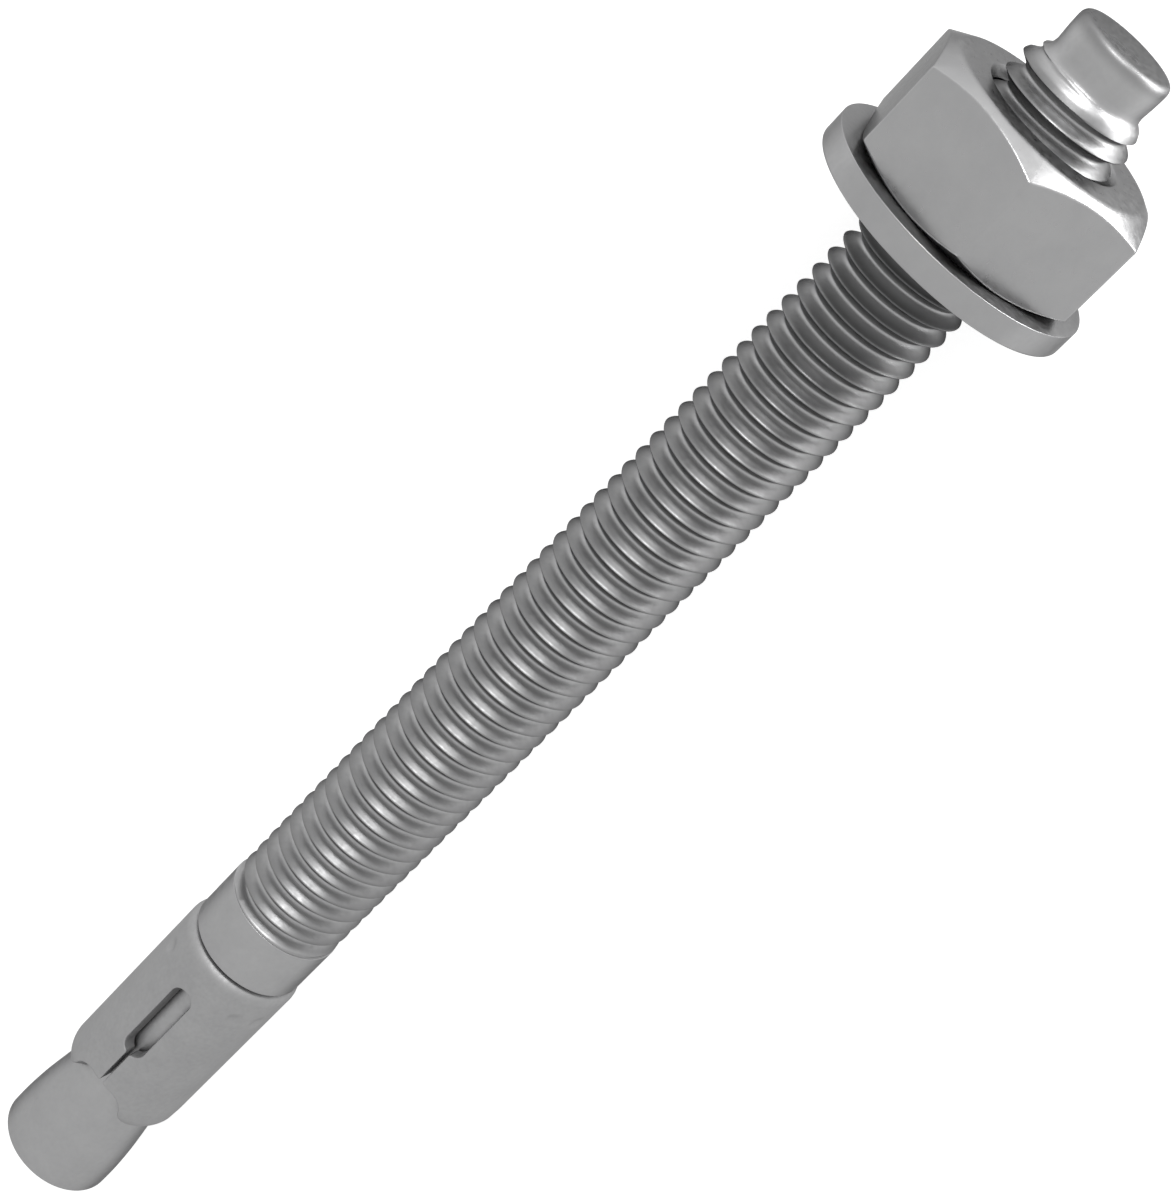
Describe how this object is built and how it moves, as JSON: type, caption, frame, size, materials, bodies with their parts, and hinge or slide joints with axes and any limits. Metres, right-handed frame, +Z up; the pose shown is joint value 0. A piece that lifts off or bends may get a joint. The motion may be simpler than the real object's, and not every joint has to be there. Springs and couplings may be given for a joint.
{
  "type": "wedge anchor",
  "caption": "Steel wedge anchor bolt with an expander cone, slotted expansion clip, long threaded shank, flat washer and hex nut, for fixing to drilled masonry.",
  "frame": {"origin": "centre of the bounding box on the surface that the anchor lies on", "axes": "+X along the anchor toward its nut and tip, +Z up; the stud's axis climbs toward the nut, because the anchor lies on its washer's rim and its lower end"},
  "size_m": [0.159, 0.0264, 0.0266],
  "materials": {
    "stud_steel": "satin zinc-plated carbon steel",
    "clip_steel": "satin zinc-plated sheet steel",
    "washer_steel": "satin zinc-plated steel",
    "nut_steel": "satin zinc-plated steel"
  },
  "bodies": {
    "stud": {"anchor_stud": "stud_steel"},
    "clip": {"expansion_clip": "clip_steel"},
    "washer": {"flat_washer": "washer_steel"},
    "nut": {"hex_nut": "nut_steel"}
  },
  "joints": [
    {"name": "clip_turn", "type": "hinge", "parent": "stud", "child": "clip", "pos_m": [-0.05625, 0, 0.00745], "axis": [0.9987, 0, 0.0506], "continuous": true},
    {"name": "washer_slide", "type": "slide", "parent": "stud", "child": "washer", "axis": [0.9987, 0, 0.0506], "range_m": [-0.0947, 0.01335]},
    {"name": "nut_turn", "type": "hinge", "parent": "washer", "child": "nut", "pos_m": [0.06539, 0, 0.01362], "axis": [0.9987, 0, 0.0506], "range_deg": [-17448, 2459]}
  ],
  "couplings": [
    {"joint": "washer_slide", "follows": "nut_turn", "m_per_rad": 0.00031096}
  ]
}
